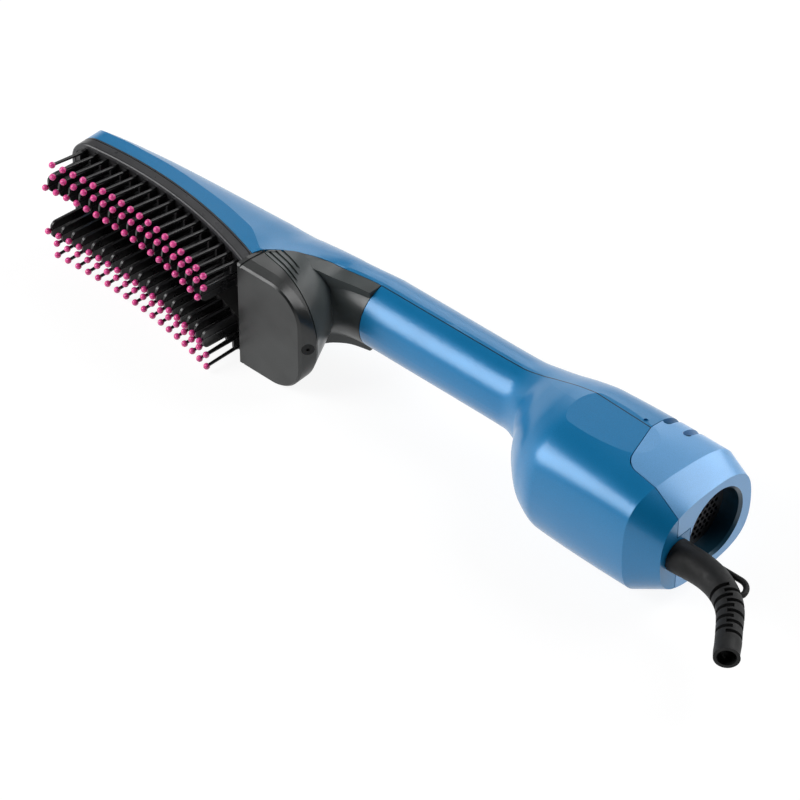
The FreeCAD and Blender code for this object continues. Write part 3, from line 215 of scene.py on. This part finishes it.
def ball_tip_plastic(name, colour):
    """Soft glossy plastic of the ball tips."""
    plastic = Surface(name, Subsurface_Weight=0.15, Subsurface_Scale=0.6 * millimetre, Coat_Weight=0.4)
    plastic.colours(plastic.noise(scale=700), colour, dark=0.85, light=1.15)
    plastic.roughness(plastic.noise(scale=500), low=0.28, high=0.38)
    return plastic.material


def soft_rubber(name, colour):
    """Dull rubber with a dusty skin."""
    rubber = Surface(name, Specular_IOR_Level=0.25, Sheen_Weight=0.02)
    rubber.colours(rubber.noise(scale=300, detail=4.0), colour, dark=0.8, light=1.3)
    rubber.roughness(rubber.noise(scale=400), low=0.5, high=0.65)
    rubber.relief(rubber.noise(scale=2200, detail=3.0), depth=0.02 * millimetre, strength=0.5)
    return rubber.material


def worked_metal(name, colour, low, high, stretch=(1, 14, 14)):
    """Metal with drawn or rolled streaks."""
    metal = Surface(name, Metallic=1.0)
    streaks = metal.noise(scale=320, detail=4.0, stretch=stretch)
    metal.colours(streaks, colour, dark=0.8, light=1.1)
    metal.roughness(streaks, low=low, high=high)
    metal.relief(streaks, depth=0.01 * millimetre, strength=0.3)
    return metal.material


def mica_card(name, colour):
    """Flaky mica board of the heater."""
    card = Surface(name, Specular_IOR_Level=0.5)
    card.colours(card.noise(scale=800, detail=5.0), colour, dark=0.6, light=1.3)
    card.roughness(card.noise(scale=500), low=0.35, high=0.7)
    return card.material


def lacquered_board(name, colour):
    """Circuit board under a green lacquer, with its tracks faintly raised."""
    board = Surface(name, Coat_Weight=0.5)
    tracks = board.noise(scale=500, detail=0.0, stretch=(1, 6, 6))
    board.colours(tracks, colour, dark=0.7, light=1.5, start=0.48, end=0.52)
    board.roughness(tracks, low=0.3, high=0.45)
    board.relief(tracks, depth=0.03 * millimetre, strength=0.5)
    return board.material


def make_materials():
    return {
        # The blue paint has a painted shade along its parting groove; the pale cap paint has one inside its
        # mouth
        "blue_shell": pearl_paint("blue_pearl", (0.002, 0.2, 0.46), painted_parting_shade),
        "pale_blue_shell": pearl_paint("pale_blue_pearl", (0.15, 0.4, 0.74), painted_mouth_shade),
        "black_plastic": moulded_plastic("black_plastic", (0.035, 0.036, 0.039), low=0.26, high=0.36),
        "pink_tips": ball_tip_plastic("pink_tips", (0.8, 0.07, 0.32)),
        "smoked_plastic": smoked_plastic("smoked_plastic", (0.05, 0.058, 0.059)),
        # Darker copy of the smoked plastic for the front panel: a painted shade
        "smoked_front_painted_shade": smoked_plastic("smoked_front_painted_shade", (0.018, 0.02, 0.02)),
        "polished_black": moulded_plastic("polished_black", (0.014, 0.014, 0.015), low=0.25, high=0.36),
        # Near-black painted shade for the deep air channel
        "deep_black_painted_shade": moulded_plastic("deep_black_painted_shade", (0.004, 0.004, 0.004), low=0.6, high=0.75),
        "black_rubber": soft_rubber("black_rubber", (0.009, 0.0095, 0.01)),
        "dark_mesh": worked_metal("dark_mesh", (0.08, 0.08, 0.085), low=0.35, high=0.5),
        "aluminium": worked_metal("aluminium", (0.7, 0.7, 0.71), low=0.3, high=0.45),
        "silicone": soft_rubber("silicone", (0.6, 0.59, 0.56)),
        "mica": mica_card("mica", (0.42, 0.36, 0.25)),
        "steel": worked_metal("steel", (0.55, 0.55, 0.56), low=0.25, high=0.4),
        "circuit_board": lacquered_board("circuit_board", (0.02, 0.14, 0.05)),
    }


def dress_nodes(frame, materials):
    """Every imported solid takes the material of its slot."""
    for subpart in frame["record"]["subparts"]:
        look = special_looks.get(subpart["node"], subpart["material_slot"])
        mesh = frame["nodes"][subpart["node"]].data
        mesh.materials.clear()
        mesh.materials.append(materials[look])


def seen_directly(tree):
    """1 for rays from the camera and for those that mirror or pass on its view, else 0."""
    path = tree.nodes.new("ShaderNodeLightPath")
    total = path.outputs["Is Camera Ray"]
    for ray in ("Is Glossy Ray", "Is Transmission Ray"):
        larger = tree.nodes.new("ShaderNodeMath")
        larger.operation = "MAXIMUM"
        tree.links.new(total, larger.inputs[0])
        tree.links.new(path.outputs[ray], larger.inputs[1])
        total = larger.outputs["Value"]
    return total


def make_floor():
    """A pale floor that stays white to the eye and keeps the comb's soft shadow."""
    half = floor_size / 2
    corners = [(-half, -half), (half, -half), (half, half), (-half, half)]
    mesh = bpy.data.meshes.new("floor")
    mesh.from_pydata([(x, y, -floor_drop) for x, y in corners], [], [(0, 1, 2, 3)])
    floor = bpy.data.objects.new("floor", mesh)
    bpy.context.scene.collection.objects.link(floor)
    material = bpy.data.materials.new("pale_floor")
    material.use_nodes = True
    tree = material.node_tree
    tree.nodes.clear()
    matt = tree.nodes.new("ShaderNodeBsdfDiffuse")
    matt.inputs["Color"].default_value = (*floor_colour, 1)
    white = tree.nodes.new("ShaderNodeEmission")
    white.inputs["Strength"].default_value = floor_shine
    share = tree.nodes.new("ShaderNodeMath")
    share.operation = "MULTIPLY"
    share.inputs[1].default_value = floor_shine_share
    tree.links.new(seen_directly(tree), share.inputs[0])
    both = tree.nodes.new("ShaderNodeMixShader")
    tree.links.new(share.outputs["Value"], both.inputs["Fac"])
    tree.links.new(matt.outputs["BSDF"], both.inputs[1])
    tree.links.new(white.outputs["Emission"], both.inputs[2])
    output = tree.nodes.new("ShaderNodeOutputMaterial")
    tree.links.new(both.outputs["Shader"], output.inputs["Surface"])
    mesh.materials.append(material)


def make_world():
    """A white room, darker overhead and on the camera's side; the camera sees it plain white."""
    world = bpy.data.worlds.new("studio")
    world.use_nodes = True
    bpy.context.scene.world = world
    tree = world.node_tree
    background = tree.nodes["Background"]
    background.inputs["Color"].default_value = (1, 1, 1, 1)
    direction = tree.nodes.new("ShaderNodeTexCoord").outputs["Generated"]
    split = tree.nodes.new("ShaderNodeSeparateXYZ")
    tree.links.new(direction, split.inputs["Vector"])
    height = tree.nodes.new("ShaderNodeMapRange")
    height.inputs["From Min"].default_value = room_pale_height
    height.inputs["From Max"].default_value = room_dark_height
    height.inputs["To Min"].default_value = ambient_share
    height.inputs["To Max"].default_value = room_dark_share
    tree.links.new(split.outputs["Z"], height.inputs["Value"])
    side = tree.nodes.new("ShaderNodeVectorMath")
    side.operation = "DOT_PRODUCT"
    side.inputs[1].default_value = (-math.sin(camera_azimuth), math.cos(camera_azimuth), 0)
    tree.links.new(direction, side.inputs[0])
    behind = tree.nodes.new("ShaderNodeMapRange")
    behind.inputs["From Min"].default_value = -room_turn
    behind.inputs["From Max"].default_value = room_turn
    behind.inputs["To Min"].default_value = room_near_share
    tree.links.new(side.outputs["Value"], behind.inputs["Value"])
    room = tree.nodes.new("ShaderNodeMath")
    room.operation = "MULTIPLY"
    tree.links.new(height.outputs["Result"], room.inputs[0])
    tree.links.new(behind.outputs["Result"], room.inputs[1])
    path = tree.nodes.new("ShaderNodeLightPath")
    brightest = tree.nodes.new("ShaderNodeMath")
    brightest.operation = "MAXIMUM"
    tree.links.new(path.outputs["Is Camera Ray"], brightest.inputs[0])
    tree.links.new(room.outputs["Value"], brightest.inputs[1])
    tree.links.new(brightest.outputs["Value"], background.inputs["Strength"])


def make_soft_box(name, toward, distance, size, radiance):
    """A rectangular soft box that faces the comb."""
    light = bpy.data.lights.new(name, "AREA")
    light.shape = "RECTANGLE"
    width, height = size
    light.size = width
    light.size_y = height
    light.energy = radiance * math.pi * width * height
    box = bpy.data.objects.new(name, light)
    direction = Vector(toward).normalized()
    box.location = aim_point + direction * distance
    box.rotation_mode = "QUATERNION"
    box.rotation_quaternion = direction.to_track_quat("Z", "Y")
    bpy.context.scene.collection.objects.link(box)


def make_camera():
    level = math.cos(camera_elevation)
    back = Vector((
        math.sin(camera_azimuth) * level,
        -math.cos(camera_azimuth) * level,
        math.sin(camera_elevation),
    ))
    lens = bpy.data.cameras.new("camera")
    lens.sensor_width = sensor_width
    lens.lens = focal_length_pixels / picture_width * sensor_width
    camera = bpy.data.objects.new("camera", lens)
    camera.location = aim_point + back * camera_distance
    camera.rotation_mode = "QUATERNION"
    camera.rotation_quaternion = back.to_track_quat("Z", "Y")
    bpy.context.scene.collection.objects.link(camera)
    bpy.context.scene.camera = camera


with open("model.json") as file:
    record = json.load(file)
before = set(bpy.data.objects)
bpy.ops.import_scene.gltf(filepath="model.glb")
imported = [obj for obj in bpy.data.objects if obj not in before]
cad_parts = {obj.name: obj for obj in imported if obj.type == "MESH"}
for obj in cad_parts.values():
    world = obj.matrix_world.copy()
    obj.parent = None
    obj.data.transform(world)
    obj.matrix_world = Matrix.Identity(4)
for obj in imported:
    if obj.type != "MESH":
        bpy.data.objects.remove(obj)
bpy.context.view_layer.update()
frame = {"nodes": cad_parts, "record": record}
bpy.context.scene.view_settings.view_transform = "Standard"

dress_nodes(frame, make_materials())
make_floor()
make_world()
for box_name, box_settings in soft_boxes.items():
    make_soft_box(box_name, **box_settings)
make_camera()
